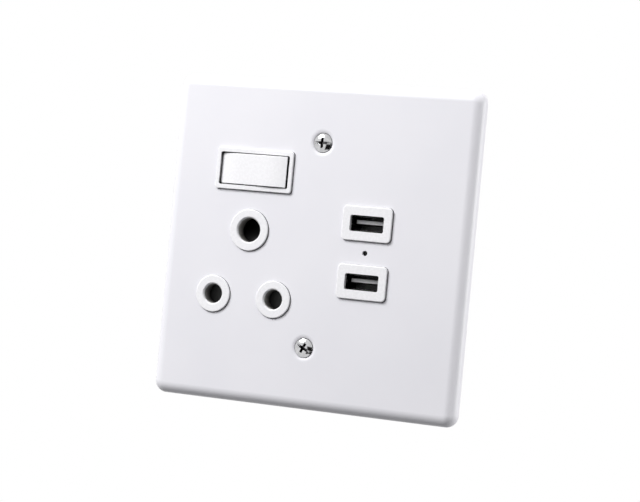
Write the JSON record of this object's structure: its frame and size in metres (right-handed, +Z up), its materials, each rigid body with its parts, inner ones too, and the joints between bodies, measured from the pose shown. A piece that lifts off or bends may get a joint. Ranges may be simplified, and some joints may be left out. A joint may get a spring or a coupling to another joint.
{
  "type": "usb wall socket",
  "caption": "Square white wall plate with a shuttered round pin mains socket, its rocker switch and a pair of USB supply ports.",
  "frame": {"origin": "centre of the plate on the wall face, midway between the two box screws", "axes": "-Y out of the wall towards the user, +Z up, +X to the right as seen from the front"},
  "size_m": [0.125, 0.0477, 0.125],
  "materials": {
    "cover_paint": "smooth powder coat, faintly cool white",
    "screw_chrome": "bright nickel plate",
    "zinc_steel": "zinc plated, dull",
    "white_plastic": "moulded urea, soft gloss",
    "dark_plastic": "moulded, matte black",
    "spring_steel": "drawn wire",
    "brass": "turned, bright",
    "silver_alloy": "silver rivet",
    "fibre": "vulcanised fibre",
    "white_nylon": "moulded nylon",
    "bronze": "rolled phosphor bronze",
    "shell_steel": "nickel plated sheet",
    "tongue_plastic": "moulded core",
    "gilt_contact": "gold flash",
    "circuit_board": "solder mask",
    "ferrite": "fired ferrite",
    "winding_tape": "polyester tape",
    "capacitor_sleeve": "shrunk sleeve",
    "lamp_lens": "diffused lens",
    "clear_plastic": "smoked clear moulding"
  },
  "bodies": {
    "frame": {"cover_plate": "cover_paint", "cover_screws": "screw_chrome", "yoke": "zinc_steel", "socket_front": "white_plastic", "pin_guide": "white_nylon", "shutter_spring": "spring_steel", "line_contact": "brass", "neutral_contact": "brass", "earth_contact": "brass", "sleeve_rings": "spring_steel", "line_link": "brass", "fixed_contact": "silver_alloy", "line_terminal": "brass", "terminal_screws": "zinc_steel", "earth_strap": "zinc_steel", "pillar_washers": "fibre", "socket_housing": "dark_plastic", "housing_screws": "zinc_steel", "usb_bezel": "white_plastic", "usb_shell_upper": "shell_steel", "usb_shell_lower": "shell_steel", "usb_core_upper": "tongue_plastic", "usb_core_lower": "tongue_plastic", "usb_contacts": "gilt_contact", "usb_board": "circuit_board", "usb_transformer": "ferrite", "usb_winding": "winding_tape", "usb_capacitors": "capacitor_sleeve", "usb_terminal_block": "dark_plastic", "usb_terminal_screws": "zinc_steel", "usb_lamp": "lamp_lens", "usb_light_guide": "clear_plastic", "usb_housing": "dark_plastic"},
    "rocker": {"rocker": "white_plastic", "rocker_spring": "spring_steel"},
    "plunger": {"rocker_plunger": "white_nylon"},
    "blade": {"contact_blade": "bronze"},
    "shutter": {"shutter": "dark_plastic"}
  },
  "joints": [
    {"name": "rocker_swing", "type": "hinge", "parent": "frame", "child": "rocker", "pos_m": [-0.027, -0.00088, 0.02675], "axis": [0, 0, 1], "range_deg": [0, 7]},
    {"name": "plunger_slide", "type": "slide", "parent": "rocker", "child": "plunger", "axis": [-0.061, -0.9981, 0], "range_m": [0, 0.0008], "stiffness_N_per_m": 400, "springref_m": -0.004, "deforming": ["rocker_spring"]},
    {"name": "blade_tilt", "type": "hinge", "parent": "frame", "child": "blade", "pos_m": [-0.027, 0.01082, 0.02675], "axis": [0, 0, 1], "range_deg": [-14, 0]},
    {"name": "shutter_slide", "type": "slide", "parent": "frame", "child": "shutter", "axis": [0, 0, -1], "range_m": [0, 0.009], "stiffness_N_per_m": 60, "springref_m": -0.004, "deforming": ["shutter_spring"]}
  ],
  "couplings": [
    {"joint": "blade_tilt", "follows": "rocker_swing", "ratio": -2}
  ]
}
